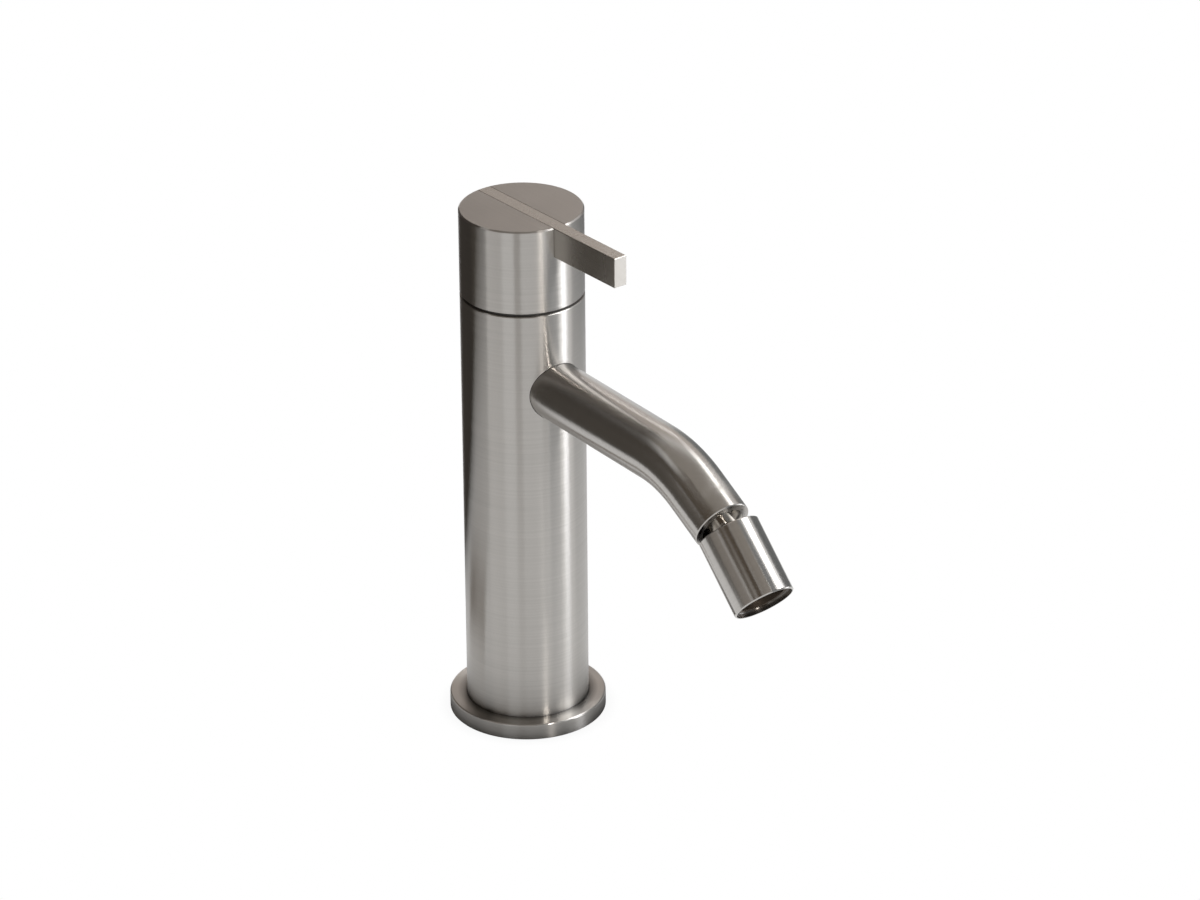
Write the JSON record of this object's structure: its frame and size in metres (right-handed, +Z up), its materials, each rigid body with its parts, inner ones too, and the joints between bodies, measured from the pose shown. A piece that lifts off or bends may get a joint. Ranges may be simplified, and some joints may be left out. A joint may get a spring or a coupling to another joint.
{
  "type": "bidet mixer tap",
  "caption": "Deck-mounted single-hole bidet mixer: upright cylinder on a round foot, turning cap with a flat bar lever, bent round spout and a ball-jointed aerator sleeve.",
  "frame": {"origin": "centre of the foot's underside, on the deck", "axes": "+Z up along the column, the spout points towards -Y and the lever almost so, hot is on -X and cold on +X"},
  "size_m": [0.0512, 0.1619, 0.178],
  "materials": {
    "steel_satin": "satin, brushed round",
    "steel_bright": "polished",
    "steel_screw": "plain",
    "brass": "turned",
    "black_plastic": "moulded",
    "white_plastic": "moulded",
    "grey_plastic": "moulded",
    "disc_ceramic": "lapped ceramic",
    "rubber": "moulded"
  },
  "bodies": {
    "body": {"base_flange": "steel_satin", "base_seal": "rubber", "body_shell": "steel_satin", "base_manifold": "brass", "riser_cold": "brass", "riser_hot": "brass", "riser_seals": "rubber", "valve_body": "brass", "cartridge_base": "white_plastic", "port_seals": "rubber", "fixed_disc": "disc_ceramic", "cartridge_housing": "grey_plastic", "cartridge_nut": "brass", "stop_ring": "white_plastic", "glide_ring": "black_plastic", "spout_tube": "steel_satin", "spout_nipple": "brass", "spout_seals": "rubber", "tip_bush": "steel_satin", "tip_washer": "rubber", "ball_nipple": "steel_bright"},
    "handle": {"handle_cap": "steel_satin", "lever_bar": "steel_satin", "lever_screws": "steel_screw", "spline_insert": "brass", "handle_screw": "steel_screw", "screw_plug": "grey_plastic", "cartridge_stem": "brass", "stem_seals": "rubber", "disc_driver": "white_plastic", "moving_disc": "disc_ceramic"},
    "ball_swivel": {"ball_seal": "rubber"},
    "ball_tilt": {"guide_ring": "black_plastic"},
    "aerator": {"ball_retainer": "steel_bright", "ball_cup": "grey_plastic", "aerator_sleeve": "steel_satin", "aerator_washer": "rubber", "aerator_cage": "grey_plastic", "flow_disc": "white_plastic", "mesh_screens": "steel_screw", "aerator_ring": "steel_bright"}
  },
  "joints": [
    {"name": "handle_turn", "type": "hinge", "parent": "body", "child": "handle", "pos_m": [0, 0, 0.1486], "axis": [0, 0, 1], "range_deg": [-3.3, 91.7]},
    {"name": "aerator_swivel", "type": "hinge", "parent": "body", "child": "ball_swivel", "pos_m": [0, -0.11344, 0.10651], "axis": [0, -0.8926, -0.4509], "continuous": true},
    {"name": "aerator_tilt", "type": "hinge", "parent": "ball_swivel", "child": "ball_tilt", "pos_m": [0, -0.11344, 0.10651], "axis": [1, 0, 0], "range_deg": [-32, 1]},
    {"name": "aerator_spin", "type": "hinge", "parent": "ball_tilt", "child": "aerator", "pos_m": [0, -0.11344, 0.10651], "axis": [0, -0.7396, -0.673], "continuous": true}
  ]
}
